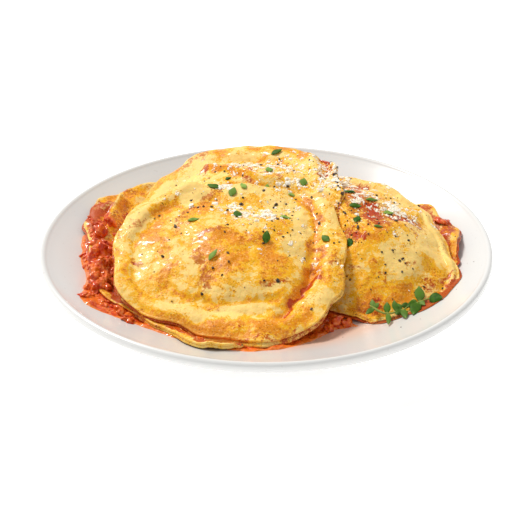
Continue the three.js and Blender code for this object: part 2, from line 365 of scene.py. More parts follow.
class Blanket:
    """A height map over the plate, 0.5 mm to a cell: the undersides of what lies there."""

    STEP = 0.5
    HALF = 110
    EMPTY = 1e6

    def __init__(self):
        size = int(2 * self.HALF / self.STEP)
        self.height = np.full((size, size), self.EMPTY)

    def cells(self, points):
        cell = ((points[..., :2] + self.HALF) / self.STEP).astype(int)
        return np.clip(cell, 0, len(self.height) - 1)

    def lower_to(self, points):
        cell = self.cells(points)
        np.minimum.at(self.height, (cell[..., 0], cell[..., 1]), points[..., 2])

    def slope_out(self, rise, reach):
        """Lets the map climb away from what is in it, rise mm for each mm, as far as reach."""
        for _ in range(int(reach / self.STEP)):
            for axis, step in ((0, 1), (0, -1), (1, 1), (1, -1)):
                beside = np.roll(self.height, step, axis=axis) + rise * self.STEP
                self.height = np.minimum(self.height, beside)

    def under(self, points):
        at = (points[..., :2] + self.HALF) / self.STEP - 0.5
        corner = np.clip(at.astype(int), 0, len(self.height) - 2)
        (i, j), (u, v) = np.moveaxis(corner, -1, 0), np.moveaxis(at - corner, -1, 0)
        height = self.height
        near = height[i, j] * (1 - v) + height[i, j + 1] * v
        far = height[i + 1, j] * (1 - v) + height[i + 1, j + 1] * v
        return near * (1 - u) + far * u


ceiling = Blanket()
SHEET = 1.4
DROOP = 2.2
GAP_UNDER_FOOD = 0.3
GAP_OVER_PLATE = 0.5


def leaned(tilt_x, tilt_y):
    """Rotation by two tilts in degrees, about Y first and then about X."""
    c, s = bearing(tilt_x)
    about_x = np.array([[1, 0, 0], [0, c, -s], [0, s, c]])
    c, s = bearing(-tilt_y)
    about_y = np.array([[c, 0, s], [0, 1, 0], [-s, 0, c]])
    return about_x @ about_y


def settled(put, outward, underside):
    """Heights of a raviolo pressed down by what lies on it and held up by the plate."""
    pressed = np.minimum(put[..., 2], ceiling.under(put) - GAP_UNDER_FOOD)
    away = put[..., :2] - PLATE_CENTRE[:2]
    rest = plate_top(np.hypot(away[..., 0], away[..., 1])) + PLATE_CENTRE[2] + GAP_OVER_PLATE
    sunk = np.maximum(0, rest - pressed)[underside:].max(axis=0)
    pushed = pressed + np.minimum(sunk, 4) * outward**6
    return np.maximum(pushed, rest - 0.2)


def hollows(height):
    """How far each point of a grid of rings lies below the points around it."""
    blurred = height
    for _ in range(10):
        round_it = sum(np.roll(blurred, step, 1) for step in (1, -1, 2, -2))
        inside = np.vstack([blurred[:1], blurred[:-1]])
        outside = np.vstack([blurred[1:], blurred[-1:]])
        blurred = (round_it + inside + outside) / 6
    return blurred - height


def stained(x, y, inset, marks, sauced, seed):
    """How gold, toasted, pale and red each point is, from strokes with ragged borders."""
    flat = level(x, y)
    ragged = [2.2 * hills(flat, 6, seed + k) + 1.1 * hills(flat, 2.4, seed + k + 2) for k in (5, 6)]
    masks = {key: np.zeros(x.shape) for key in ("gold", "red", "toast", "pale")}
    for kind, strokes in marks.items():
        for strength, width, line in strokes:
            mark = strength * stroke(x + ragged[0], y + ragged[1], width, line)
            masks[kind] = np.maximum(masks[kind], mark)
    wet = np.clip((inset + ragged[0] * 0.5 - 1.2) / 1.5, 0, 1)
    masks["red"] = np.maximum(masks["red"], sauced * wet)
    return masks


def make_raviolo(name, node, shape, marks, material, sides, rings, seed):
    """Two sheets of pasta round a filling, laid under the ravioli that are there already."""
    lip_steps = 7
    bare_steps = 3
    angle = np.arange(sides) * 2 * math.pi / sides
    edge = around(shape["radii"], angle) + shape["ripple"] * np.sin(angle * 13 + shape["crown"])
    frill = hills(level(40 * np.cos(angle), 40 * np.sin(angle)), 5, seed)
    edge = edge + shape["frill"] * frill
    slip = around(shape["slip"], angle) * (1 + 0.4 * frill)
    half = SHEET / 2
    swell_x, swell_y = shape["swell"]

    def spots(shares, outward, side, rise):
        reach = shares[:, None] * (edge - half) + outward[:, None]
        reach = reach + (side < 0) * slip * shares[:, None] ** 12
        x = reach * np.cos(angle)
        y = reach * np.sin(angle)
        pocket = np.hypot(x - swell_x, y - swell_y)
        rim = around(shape["rim"], angle)
        fold = edge - rim - (swell_x * x + swell_y * y) / edge
        fill = np.clip(pocket / fold, 0, 1)
        bulge = (1 - fill ** around(shape["flat"], angle)) ** (1.2 if side > 0 else 0.85)
        roll = np.sin(math.pi * np.clip((pocket / fold - 0.98) * fold / rim, 0, 1))
        drape = around(shape["lift"], angle) * shares[:, None] ** DROOP
        flutter = shape["ripple"] * np.sin(angle * 9 + shape["belly"]) * shares[:, None] ** 8
        z = drape + flutter + (shape["crown"] if side > 0 else -shape["belly"]) * bulge
        if side > 0:
            for width, height, line in shape["folds"]:
                z = z + height * stroke(x, y, width, line)
            flat = level(x, y)
            z = z + around(shape["puff"], angle) * roll
            z = z + shape["lumps"] * hills(flat, 13, seed + 1) * (0.4 + 0.4 * bulge)
            z = z + 0.24 * hills(flat, 5.2, seed + 2) + 0.13 * hills(flat, 2.3, seed + 3)
        return np.stack([x, y, z + rise], axis=-1)

    share = 1 - (1 - np.linspace(0, 1, rings + 1)[1:]) ** 1.25
    few = share[:: -4]
    full = np.ones(lip_steps)
    curl = np.radians(np.linspace(72, -62, lip_steps))
    back = -curl[::-1]
    top = spots(share, 0 * share, 1, SHEET)
    lip = spots(full, half * np.cos(curl), 1, (half + half * np.sin(curl))[:, None])
    seam = spots(full, half * np.cos(back), -1, (half * np.sin(back) - half)[:, None])
    bottom = spots(few, 0 * few, -1, -SHEET)
    skin = np.concatenate([top, lip, seam, bottom])

    lean = leaned(*shape["tilt"])
    seat = np.array(shape["at"]) + PLATE_CENTRE
    put = skin @ lean.T + seat
    outward = np.linalg.norm(skin[..., :2], axis=-1) / edge
    put[..., 2] = settled(put, outward, len(top) + len(lip))
    dense = np.linspace(0.02, 1, 160)
    ceiling.lower_to(spots(dense, 0 * dense, -1, -SHEET) @ lean.T + seat)
    ceiling.slope_out(shape["give"], 9)

    x, y, z = np.moveaxis(skin, -1, 0)
    inset = edge - np.hypot(x, y)
    masks = stained(x, y, inset, marks, shape["sauced"], seed)
    below = masks["red"][len(top) + bare_steps :]
    below[:] = np.maximum(below, around(shape["soaked"], angle))
    masks["hollow"] = np.zeros(x.shape)
    masks["hollow"][: len(top)] = hollows(z[: len(top)])
    masks["rim"] = np.clip(1 - inset / 3.0, 0, 1)
    flat_masks = {
        key: np.concatenate([[value[0].mean()], value.ravel(), [value[-1].mean()]])
        for key, value in masks.items()
    }
    points = np.vstack([put[0].mean(axis=0), put.reshape(-1, 3), put[-1].mean(axis=0)])
    faces = ring_faces(len(put), sides)
    add_piece(name, points, faces, material, [node], flat_masks)


def make_pasta():
    pasta = Finish("baked_egg_pasta")
    patches = pasta.grain(9.5, detail=3, roughness=0.62, distortion=0.6)
    flecks = pasta.grain(2.1, detail=4, roughness=0.68)
    grit = pasta.grain(0.75, detail=2, roughness=0.7)
    streaks = pasta.grain(5.0, detail=3, stretch=(1.0, 0.45, 1.0), distortion=1.2)
    gold = pasta.mask("gold") * 0.66 - pasta.mask("pale") * 0.34 + pasta.mask("hollow") * 0.45
    gold = gold + (patches - 0.5) * 2.3 + (flecks - 0.5) * 1.9 + (grit - 0.5) * 0.6
    red = pasta.mask("red") + (flecks - 0.5) * 1.5 + (streaks - 0.5) * 0.7 + (grit - 0.5) * 1.2
    toast = pasta.mask("toast") * 0.9 + (flecks - 0.5) * 2.2 + (grit - 0.5) * 1.3
    oil = gold.above(-0.08, 0.20)
    baked = gold.above(0.34, 0.78)
    stained = red.above(0.38, 0.95)
    scorched = toast.above(0.46, 1.05)
    specks = grit.above(0.59, 0.64) * patches.above(0.46, 0.60)
    dust = grit.above(0.44, 0.36)
    skin = pasta.tint(oil, colour(252, 212, 124), colour(249, 182, 20))
    skin = pasta.tint(baked, skin, colour(232, 144, 6))
    skin = pasta.tint(dust * 0.35, skin, colour(255, 226, 150))
    skin = pasta.tint(pasta.mask("rim") * 0.35, skin, colour(252, 200, 92))
    skin = pasta.tint(scorched * 0.85, skin, colour(190, 92, 4))
    skin = pasta.tint(stained * 0.9, skin, colour(184, 48, 3))
    skin = pasta.tint(specks * 0.75, skin, colour(156, 74, 10))
    blisters = pasta.relief(pasta.cells(1.9), 0.14)
    pores = pasta.relief(flecks + grit * 0.5, 0.3, blisters)
    return pasta.surface({
        "Base Color": skin,
        "Roughness": 0.56 - oil * 0.2 - stained * 0.15 + (flecks - 0.5) * 0.3,
        "Subsurface Weight": 0.15,
        "Subsurface Radius": (1.0, 0.45, 0.15),
        "Subsurface Scale": 0.002,
        "Specular IOR Level": 0.22,
        "Coat Weight": flecks.above(0.50, 0.60) * (oil * 0.45 + 0.1),
        "Coat Roughness": 0.17,
        "Normal": pores,
    })


pasta = make_pasta()

# Measures in mm from the middle of the raviolo. A list runs evenly round it from +X.
#   radii, lift        its outline, and how far the edge stands up (+) or hangs down (-)
#   crown, belly       how far the filling swells above and below the seam
#   swell, rim, flat   where the filling is thickest, how wide the rim is, how flat the top is
#   puff, lumps        how the rim arches, and how uneven the filling is
#   ripple, frill      even and uneven waves of the edge
#   slip               how far the lower sheet shows beyond the upper one
#   soaked, sauced     sauce below the lip of the edge, and on the top
#   give               how steeply a raviolo under it may rise beside it
#   folds              width, height and line of each crease (-) or ridge (+)
# The marks are colours laid on the top: strength, width and line of each stroke.
FRONT = {
    "radii": [
        *(48.0, 49.5, 50.5, 51.0, 46.6, 44.4, 44.4, 45.6, 48.7, 50.0, 52.4, 52.6),
        *(52.3, 52.6, 53.2, 49.8, 47.0, 47.6, 49.8, 52.4, 53.0, 52.6, 50.6, 48.6),
    ],
    "lift": [1, 1, 0, 0, 0, 1, 0, -1, -1, -1, 0, 1],
    "crown": 6.6,
    "belly": 2,
    "rim": [14, 14, 14, 13, 11, 9, 8, 8, 11, 14, 14, 14],
    "flat": [2.3, 2.3, 2.3, 2.2, 1.9, 1.6, 1.5, 1.5, 1.8, 2.1, 2.3, 2.3],
    "swell": (-2, 1),
    "puff": [1.0, 0.6, 0.4, 0.3, 0.8, 1.0, 1.0, 1.4, 1.9, 1.6, 1.4, 1.2],
    "ripple": 0.8,
    "frill": 0.3,
    "slip": [0.3, 0, 0, 0, 0.3, 0.6, 0.6, 0.3, 0.3, 1.4, 1.2, 0.5],
    "soaked": [0, 0, 0, 0, 0, 0.2, 0.8, 0.9, 0.9, 0.1, 0.8, 0.4],
    "sauced": 0,
    "lumps": 0.65,
    "give": 0.8,
    "at": (-13.5, -19.5, 25),
    "tilt": (16, 0),
    "folds": [
        (3.0, -1.8, [(26, 38), (33, 30), (35.5, 18), (35, 5), (33.5, -10)]),
        (2.6, -2.6, [(33, -12), (30.5, -22), (25, -30), (20, -37)]),
        (1.8, 0.9, [(36, -12), (33.5, -20), (29, -28), (25, -34)]),
        (4.5, 0.9, [(40, 30), (43.5, 15), (43, 0), (42, -14), (38, -26)]),
        (3.0, 0.8, [(-20, 43), (-31, 34), (-40, 22), (-45, 10)]),
        (3.6, -0.8, [(-22, 36), (-31, 27), (-37, 15)]),
        (2.2, -0.9, [(-28, -20), (-20, -27), (-8, -30), (8, -30), (18, -28)]),
        (5.0, -0.6, [(-12, 34), (-20, 24), (-23, 10), (-20, -4)]),
        (6.0, 0.8, [(-10, 8), (-6, -8), (-4, -18)]),
        (1.6, 0.8, [(-50, -4), (-49, -14)]),
    ],
}
FRONT_MARKS = {
    "pale": [
        (0.9, 6.0, [(-26, 36), (-14, 44), (0, 43), (14, 42), (24, 36)]),
        (0.9, 5.5, [(18, 30), (26, 20), (28, 8), (26, -4)]),
        (0.7, 6.0, [(4, 20), (14, 10), (16, 22)]),
        (0.9, 3.6, [(0, -12), (6, -14), (10, -10)]),
        (0.8, 3.2, [(-21, -2), (-20, -12)]),
        (0.8, 3.0, [(-6, -24), (6, -25), (16, -22)]),
        (1.0, 3.6, [(-24, 40), (-34, 31), (-42, 19), (-46, 8)]),
        (0.35, 4.0, [(-26, 18), (-25, 4), (-23, -12)]),
        (1.0, 3.0, [(-38, -27), (-26, -33), (-10, -35.5), (8, -35)]),
        (0.8, 4.0, [(27, -37), (36, -28), (43, -14), (45, 4), (43, 20)]),
        (0.7, 4.0, [(-44, -16), (-38, -24)]),
    ],
    "gold": [
        (1.3, 3.4, [(-28, 32), (-34, 24), (-37, 12), (-38, 4)]),
        (0.9, 4.0, [(-50, -2), (-47, -13), (-42, -22), (-34, -30)]),
        (0.8, 5.0, [(-8, 32), (-16, 24), (-20, 12)]),
        (0.6, 6.0, [(-6, 28), (8, 26), (20, 14)]),
        (0.6, 3.0, [(46, 12), (48, -2), (46, -16)]),
        (0.9, 4.5, [(-31, 2), (-28, -8), (-32, -16)]),
        (0.9, 3.0, [(-44, -13), (-34, -17)]),
        (1.0, 2.2, [(-28, -20), (-20, -26), (-8, -30), (8, -30), (20, -26)]),
        (1.2, 8.0, [(-16, 2), (-8, -12), (6, -8), (16, -4)]),
        (1.1, 5.0, [(-6, 2), (4, 4), (16, 2)]),
        (0.9, 5.0, [(10, -20), (20, -14)]),
        (1.3, 3.4, [(27, 37), (34, 28), (36, 14), (35, 0), (33, -12), (28, -24), (20, -37)]),
        (0.9, 3.0, [(40, 12), (41, 2)]),
        (0.8, 3.0, [(40, -12), (36, -22)]),
        (1.3, 4.0, [(-34, -35), (-20, -41), (-4, -44), (12, -44), (22, -40)]),
        (1.0, 2.4, [(4, -38), (14, -37)]),
        (1.3, 3.6, [(-24, -43), (-8, -48), (8, -49), (22, -46), (32, -38)]),
    ],
    "toast": [
        (1.0, 3.2, [(-9, 38), (-15, 31), (-20, 23), (-24, 13)]),
        (1.1, 2.8, [(-15, 4), (-10, 7), (-3, 8)]),
        (0.8, 3.4, [(4, 5), (12, 2), (18, 3)]),
        (1.1, 3.2, [(-16, -6), (-15, -16), (-12, -23)]),
        (0.7, 3.5, [(-8, -12), (-4, -15)]),
        (0.9, 3.0, [(12, -21), (20, -18)]),
        (0.7, 2.4, [(-8, -32), (-3, -33)]),
        (0.9, 2.0, [(32, 32), (35, 24)]),
        (0.9, 2.4, [(36, 4), (34, -10)]),
        (0.9, 3.0, [(-45, -4), (-42, -8)]),
        (0.9, 1.6, [(-46, 14), (-42, 18)]),
        (0.9, 1.2, [(-32, 33), (-28, 35)]),
        (1.0, 2.2, [(40, -2), (42, -10)]),
        (0.55, 2.6, [(-4, -50), (14, -49), (28, -43)]),
        (0.7, 1.8, [(-30, -41), (-18, -47)]),
    ],
    "red": [
        (0.5, 1.6, [(-14, 5), (-9, 6)]),
        (0.4, 1.6, [(-15, -8), (-14, -15)]),
        (0.6, 1.4, [(-16, 29), (-12, 33)]),
        (0.7, 1.6, [(16, -20), (20, -19)]),
        (1.1, 1.5, [(33, -15), (30.5, -22), (26, -30), (21, -36)]),
        (0.7, 1.6, [(-45, -5), (-43, -8)]),
        (0.6, 2.0, [(1, -45), (4, -46)]),
        (0.75, 1.3, [(-4, -52.5), (14, -52), (28, -46)]),
        (0.6, 1.4, [(-51, 8), (-50, 16)]),
    ],
}
make_raviolo("raviolo_on_top", "raviolo_front", FRONT, FRONT_MARKS, pasta, 460, 104, 11)

BACK = {
    "radii": [50, 51, 50, 50, 50.5, 48.5, 51, 53, 51, 51, 51, 51],
    "lift": [4, 2, 0, 0, -2, -5, -5, -3, 0, 0, 0, 2],
    "crown": 8,
    "belly": 4,
    "rim": 14,
    "flat": 2.3,
    "swell": (3, 4),
    "puff": [1.0, 0.8, 1.0, 1.2, 1.0, 1.0, 1.0, 1.0, 0.5, 0.5, 0.5, 0.8],
    "ripple": 0.8,
    "frill": 0.45,
    "slip": [0.6, 0.6, 0.4, 0.4, 0.4, 0.6, 0.6, 0.6, 0.6, 0.6, 0.6, 0.6],
    "soaked": [0.6, 0.2, 0, 0, 0, 0, 0.2, 0.6, 1, 1, 1, 1],
    "sauced": 0,
    "lumps": 1.0,
    "give": 0.9,
    "at": (-15, 19, 27.1),
    "tilt": (8, 8),
    "folds": [
        (2.2, 2.6, [(-12, 30), (-6, 24), (4, 17), (12, 9), (20, 5)]),
        (1.5, -2.2, [(-8, 33), (2, 25), (12, 17)]),
        (2.6, -3.6, [(42, 28), (44, 20), (43, 13)]),
        (3.0, 1.4, [(36, 34), (38, 22), (38, 10)]),
        (2.0, 1.0, [(-22, 44), (-26, 38)]),
        (3.0, -1.0, [(-6, 38), (8, 36), (22, 32)]),
    ],
}
BACK_MARKS = {
    "pale": [
        (0.8, 6.0, [(-30, 22), (-20, 30), (-10, 38)]),
        (0.7, 5.0, [(-34, 8), (-24, 12), (-16, 14)]),
        (0.6, 4.0, [(0, 42), (14, 42)]),
    ],
    "gold": [
        (1.6, 2.4, [(-12, 30), (-6, 24), (4, 17), (12, 9), (20, 5)]),
        (1.0, 3.0, [(-10, 47), (-4, 45)]),
        (1.0, 3.0, [(6, 47), (12, 44)]),
        (1.1, 4.0, [(22, 44), (30, 38), (34, 33)]),
        (1.0, 3.0, [(-44, 22), (-34, 32), (-28, 38)]),
        (0.7, 7.0, [(16, 34), (26, 26)]),
    ],
    "toast": [
        (1.0, 2.4, [(-26, 38), (-20, 44), (-12, 47)]),
        (0.8, 1.6, [(-2, 50), (12, 50), (26, 45)]),
        (0.9, 4.0, [(36, 36), (44, 26), (46, 12)]),
        (1.1, 1.6, [(-6, 28), (4, 22), (12, 16), (20, 12)]),
        (0.7, 3.0, [(-30, 14), (-24, 16)]),
    ],
    "red": [
        (0.9, 2.4, [(-14, 30), (-12, 25)]),
        (0.9, 1.8, [(8, 8), (12, 6)]),
        (1.1, 2.6, [(42, 28), (44, 20), (42, 14)]),
        (0.7, 1.6, [(-8, 34), (0, 30)]),
    ],
}
make_raviolo("raviolo_behind", "raviolo_back", BACK, BACK_MARKS, pasta, 460, 104, 23)

RIGHT = {
    "radii": [
        *(44.5, 43.0, 43.0, 43.5, 44.0, 46.0, 48.0, 49.0, 49.0, 49.0, 48.0, 48.0),
        *(48.0, 48.0, 46.0, 40.0, 36.0, 35.5, 42.0, 48.5, 51.5, 52.5, 52.0, 48.0),
    ],
    "lift": [-4, -2, 1, 2, 0, 0, 0, 0, -4, -6, -7, -7],
    "crown": 13,
    "belly": 4,
    "rim": [4, 4, 5, 7, 8, 8, 8, 7, 5, 4, 3.5, 3.5],
    "flat": [3.4, 3.0, 2.6, 2.6, 2.6, 2.6, 2.6, 2.4, 1.9, 1.7, 1.9, 2.8],
    "swell": (0, 4),
    "puff": [1.4, 1.4, 1.0, 0.6, 0.6, 0.6, 0.6, 0.6, 0.8, 1.0, 1.0, 1.2],
    "ripple": 0.6,
    "frill": 0.35,
    "slip": [0.6, 0.4, 0.4, 0.4, 0.4, 0.4, 0.4, 0.4, 0.6, 1.2, 1.6, 1.0],
    "soaked": [1.0, 0.5, 0, 0, 0, 0, 0, 0.6, 1.2, 1.2, 1.2, 1.2],
    "sauced": 0,
    "lumps": 0.7,
    "give": 0.9,
    "at": (36.5, -3.5, 19),
    "tilt": (12, 3),
    "folds": [
        (4.0, 0.8, [(0, -4), (6, -6), (14, -3), (24, 3), (28, 8)]),
        (7.0, -1.6, [(8, 12), (18, 12)]),
        (2.4, 1.2, [(25, 30), (32, 20), (37, 8), (41, -4), (44, -12)]),
        (4.5, -0.8, [(26, 14), (32, 2)]),
        (3.5, -1.0, [(34, -18), (30, -26), (22, -34)]),
    ],
}
RIGHT_MARKS = {
    "pale": [
        (0.9, 6.0, [(24, -4), (28, -12), (18, -16)]),
        (0.7, 5.0, [(18, -26), (26, -22), (34, -8)]),
        (1.0, 2.6, [(25, 30), (32, 20), (38, 8), (43, -4), (46, -12)]),
        (0.7, 5.0, [(24, 24), (28, 16)]),
        (0.6, 4.0, [(5, -22), (8, -16)]),
    ],
    "gold": [
        (0.8, 5.0, [(14, -8), (8, -16), (12, -26)]),
        (1.0, 4.0, [(8, -12), (10, -4), (20, 0)]),
        (1.0, 5.0, [(6, -30), (14, -27), (20, -30)]),
        (0.9, 3.0, [(32, -12), (34, -14)]),
        (1.2, 5.0, [(4, -34), (14, -36), (24, -33)]),
        (0.8, 4.0, [(28, 22), (30, 14)]),
        (1.0, 4.0, [(4, -8), (3, -18)]),
        (0.2, 16.0, [(6, 10), (12, -22), (30, -20)]),
    ],
    "toast": [
        (1.1, 4.0, [(2, 38), (10, 38)]),
        (1.1, 5.0, [(3, 30), (7, 20), (10, 8)]),
        (1.2, 4.5, [(2, 0), (3, -8)]),
        (1.1, 3.6, [(18, 10), (26, 8)]),
        (1.0, 3.0, [(14, 0), (20, 2)]),
        (0.7, 2.2, [(30, -27), (38, -19)]),
        (1.0, 2.0, [(26, -19), (29, -18)]),
        (1.2, 1.4, [(13, -22), (14, -25)]),
        (0.9, 3.0, [(2, -36), (8, -39)]),
        (1.3, 9.0, [(4, 30), (8, 14), (14, 6)]),
        (1.0, 1.6, [(0, -22), (3, -24)]),
        (1.2, 6.0, [(8, 16), (18, 13), (28, 8)]),
    ],
    "red": [
        (1.0, 4.0, [(2, 34), (8, 37)]),
        (1.1, 4.4, [(9, 14), (12, 5)]),
        (1.0, 3.0, [(18, 11), (28, 6)]),
        (0.9, 3.2, [(2, -1), (5, -7)]),
        (0.75, 2.4, [(30, -29), (35, -25), (44, -18)]),
        (0.7, 4.0, [(4, 26), (9, 16)]),
        (0.8, 2.8, [(3, -39), (8, -38)]),
        (1.1, 2.6, [(0, -48), (12, -49), (26, -44), (36, -34), (44, -24)]),
    ],
}
make_raviolo("raviolo_at_right", "raviolo_right", RIGHT, RIGHT_MARKS, pasta, 460, 104, 37)
open_ceiling = ceiling.height.copy()

UNDERNEATH = {
    "belly": 2,
    "rim": 11,
    "flat": 2.6,
    "swell": (0, 0),
    "puff": 1.4,
    "slip": 1.0,
    "give": 0.9,
    "tilt": (0, 0),
}
LOWER_RIGHT = UNDERNEATH | {
    "radii": [49.5, 50, 49, 46, 45, 45, 45, 45, 45, 42, 42, 45],
    "lift": [7, 7, 6, 4, 0, 0, 0, 0, 0, 0, 0, 2],
    "crown": 5,
    "ripple": 1.2,
    "frill": 0.8,
    "soaked": [1.1, 0.8, 0.4, 0.3, 0.3, 0.5, 0.9, 1.1, 1.1, 1.1, 1.1, 1.1],
    "sauced": 0.8,
    "lumps": 0.9,
    "at": (37, 3, 11.5),
    "folds": [(3, 1.0, [(44, 0), (42, 16)])],
}
LOWER_RIGHT_MARKS = {
    "gold": [
        (1.3, 5.0, [(47, 10), (47, -6), (45, -16)]),
        (0.9, 4.0, [(40, 34), (44, 26)]),
    ],
    "toast": [
        (1.2, 2.4, [(38, 38), (26, 46)]),
    ],
    "red": [
        (1.0, 2.4, [(36, 40), (28, 46)]),
        (1.0, 2.8, [(46, 16), (45, 22)]),
        (0.6, 2.0, [(48, -4), (46, -12)]),
    ],
}
make_raviolo(
    "raviolo_under_right", "raviolo_lower_right", LOWER_RIGHT, LOWER_RIGHT_MARKS, pasta, 300, 44, 41
)

LOWER_LEFT = UNDERNEATH | {
    "radii": [45, 45, 46, 45, 48, 51, 49.5, 48, 46, 45, 45, 45],
    "lift": [0, 0, 1, 2, 5, 7, 6.5, 2, 1, 0, 0, 0],
    "crown": 5,
    "ripple": 1.0,
    "frill": 0.7,
    "soaked": [1.1, 0.8, 0.4, 0.3, 0.2, 0.5, 1.3, 1.3, 1.3, 1.3, 1.2, 1.1],
    "sauced": 0.38,
    "lumps": 1.0,
    "at": (-32.5, 18, 11.5),
    "folds": [
        (2.0, 5.0, [(-35, 24), (-37, 14), (-38, 4), (-38, -6)]),
        (2.0, 1.6, [(-45, 22), (-40, 28), (-30, 37), (-20, 43)]),
        (2.4, -1.4, [(-41, 14), (-42, 4)]),
        (1.6, 1.4, [(-42, 16), (-40, 20)]),
    ],
}
LOWER_LEFT_MARKS = {
    "gold": [
        (1.9, 3.0, [(-35, 24), (-37, 14), (-38, 4), (-38, -6)]),
        (0.9, 2.6, [(-46, 22), (-36, 34), (-24, 44)]),
        (1.0, 3.0, [(-44, 22), (-36, 30), (-26, 38)]),
    ],
    "toast": [
        (0.9, 2.4, [(-36, 12), (-37, 2)]),
        (1.0, 2.0, [(-38, 31), (-33, 35)]),
        (0.9, 1.6, [(-30, 40), (-20, 46)]),
    ],
    "red": [
        (1.2, 4.0, [(-44, 12), (-44, 2), (-42, -10)]),
        (1.1, 2.6, [(-42, 20), (-42, 10)]),
        (1.1, 2.2, [(-31, 16), (-32, 4), (-33, -6)]),
        (1.2, 3.4, [(-46, 20), (-49, 10), (-48, 0)]),
    ],
}
make_raviolo("raviolo_under_left", "raviolo_lower_left", LOWER_LEFT, LOWER_LEFT_MARKS, pasta, 300, 44, 53)

LOWER_FRONT = UNDERNEATH | {
    "radii": [
        *(43, 43, 43, 43, 44, 44, 44, 44, 45, 46, 46, 46),
        *(45.5, 45.0, 39.5, 37.5, 38.5, 42.0, 51.5, 52.5, 48, 44, 43, 43),
    ],
    "lift": [0, 0, 1, 1, 2, 2.5, 2, 1, 1, 3, 1, 0],
    "crown": 4,
    "puff": 0,
    "ripple": 0.5,
    "frill": 0.5,
    "slip": 0.2,
    "soaked": [0.8, 0.6, 0, 0, 0, 0.5, 1.1, 0.9, 0.5, 0.1, 0.3, 0.8],
    "sauced": 1.1,
    "lumps": 0.8,
    "at": (-27, -23, 10.5),
    "folds": [],
}
LOWER_FRONT_MARKS = {"gold": [(1.1, 2.0, [(-46, -6), (-38, -17), (-25, -29), (-12, -40), (6, -49)])]}
make_raviolo(
    "raviolo_under_front", "raviolo_lower_front", LOWER_FRONT, LOWER_FRONT_MARKS, pasta, 300, 44, 67
)


# ------------------------------------------------------------------ the tomato sauce
# Chopped tomato stewed to a loose, oily sauce. It is spooned under the ravioli and heaped
# at the left, with bits of tomato lying in it and an orange ring of oil at its edge.
def make_sauce():
    """The pool of sauce from its edge inward, with its heaps, kept under the ravioli."""
    sides = 600
    buried = 0.8
    edge = [
        *(81, 79, 74, 68, 64, 62, 62, 62, 66, 74, 80, 85),
        *(82.5, 81, 89.5, 77, 74, 74.5, 73, 65.5, 59.5, 68, 79.5, 82),
    ]
    heaps = [
        (-71, -5, 7, 10),
        (-74, 11, 6.5, 11),
        (-71, -20, 7, 9),
        (-66, 2, 6, 3),
        (26, -46, 9, 2.5),
    ]
    angle = np.arange(sides) * 2 * math.pi / sides
    ring = level(70 * np.cos(angle), 70 * np.sin(angle))
    reach = around(edge, angle) + 0.5 * hills(ring, 9, 71) + 0.5 * hills(ring, 3.2, 72)
    fine = np.linspace(0, 4, 14)
    middling = np.linspace(4, 34, 62)[1:]
    coarse = np.linspace(34, 60, 8)[1:]
    inward = np.concatenate([fine, middling, coarse])
    radius = np.maximum(reach[None, :] - inward[:, None], 4)[::-1]
    depth = (inward[:, None] + 0 * radius)[::-1]
    x = radius * np.cos(angle)
    y = radius * np.sin(angle)
    flat = level(x, y)
    body = 1 - np.exp(-depth / 1.6)
    heap = sum(
        height * np.exp(-((x - at_x) ** 2 + (y - at_y) ** 2) / spread**2)
        for at_x, at_y, spread, height in heaps
    )
    lumpy = 0.8 * hills(flat, 5.4, 73) + 0.6 * hills(flat, 3.0, 74) + 0.28 * hills(flat, 1.6, 75)
    thick = -0.15 + body * (1.35 + heap * (0.85 + 0.35 * lumpy) + 0.75 * lumpy)
    z = plate_top(radius) + np.maximum(thick, -0.15 + 0.35 * body)
    top = flat + np.stack([0 * z, 0 * z, z], -1) + PLATE_CENTRE
    ceiling.height = np.maximum(ceiling.height, open_ceiling - 1.5)
    top[..., 2] = np.minimum(top[..., 2], ceiling.under(top) + 0.6)
    top[..., 2] = np.maximum(top[..., 2], plate_top(radius) + PLATE_CENTRE[2] - 0.3)
    few = top[::-6].copy()
    few[..., 2] = plate_top(radius[::-6]) - buried + PLATE_CENTRE[2]
    skin = np.concatenate([top, few])
    points = np.vstack([top[0].mean(0), skin.reshape(-1, 3), few[-1].mean(0)])
    shallow = (1 - np.clip(depth / 3.5, 0, 1)).ravel()
    thin = np.concatenate([[0], shallow, np.zeros(few.shape[0] * sides), [0]])
    return points, ring_faces(len(skin), sides), {"thin": thin}


def make_sauce_finish():
    stew = Finish("tomato_sauce")
    pulp = stew.grain(4.2, detail=3, roughness=0.6)
    specks = stew.grain(1.3, detail=2)
    oil = stew.mask("thin").above(0.25, 0.95)
    red = stew.tint(pulp.above(0.36, 0.66), colour(208, 58, 8), colour(244, 118, 26))
    red = stew.tint(specks.above(0.56, 0.68) * 0.8, red, colour(248, 138, 48))
    # Painted shade: the lowest points of the sauce's bumps are painted dark red, standing in for the
    # shade in its hollows.
    red = stew.tint(0.55 - specks.above(0.32, 0.42) * 0.55, red, colour(164, 26, 2))
    red = stew.tint(oil * 0.85, red, colour(240, 130, 34))
    lumps = stew.relief(stew.cells(1.7), 0.35)
    return stew.surface({
        "Base Color": red,
        "Roughness": specks * 0.25 + 0.3,
        "Subsurface Weight": 0.1,
        "Subsurface Radius": (1.0, 0.25, 0.08),
        "Subsurface Scale": 0.002,
        "Specular IOR Level": 0.2,
        "Coat Weight": specks.above(0.42, 0.52),
        "Coat Roughness": 0.06,
        "Normal": stew.relief(specks, 0.25, lumps),
    })


stew = make_sauce_finish()
sauce_points, sauce_faces, sauce_masks = make_sauce()
add_piece("tomato_sauce", sauce_points, sauce_faces, stew, ["sauce"], sauce_masks)


def ball(level):
    """Points and faces of a round ball of radius 1."""
    shape = bmesh.new()
    bmesh.ops.create_icosphere(shape, subdivisions=level, radius=1.0)
    points = np.array([vertex.co[:] for vertex in shape.verts])
    faces = [[vertex.index for vertex in face.verts] for face in shape.faces]
    shape.free()
    return points, faces


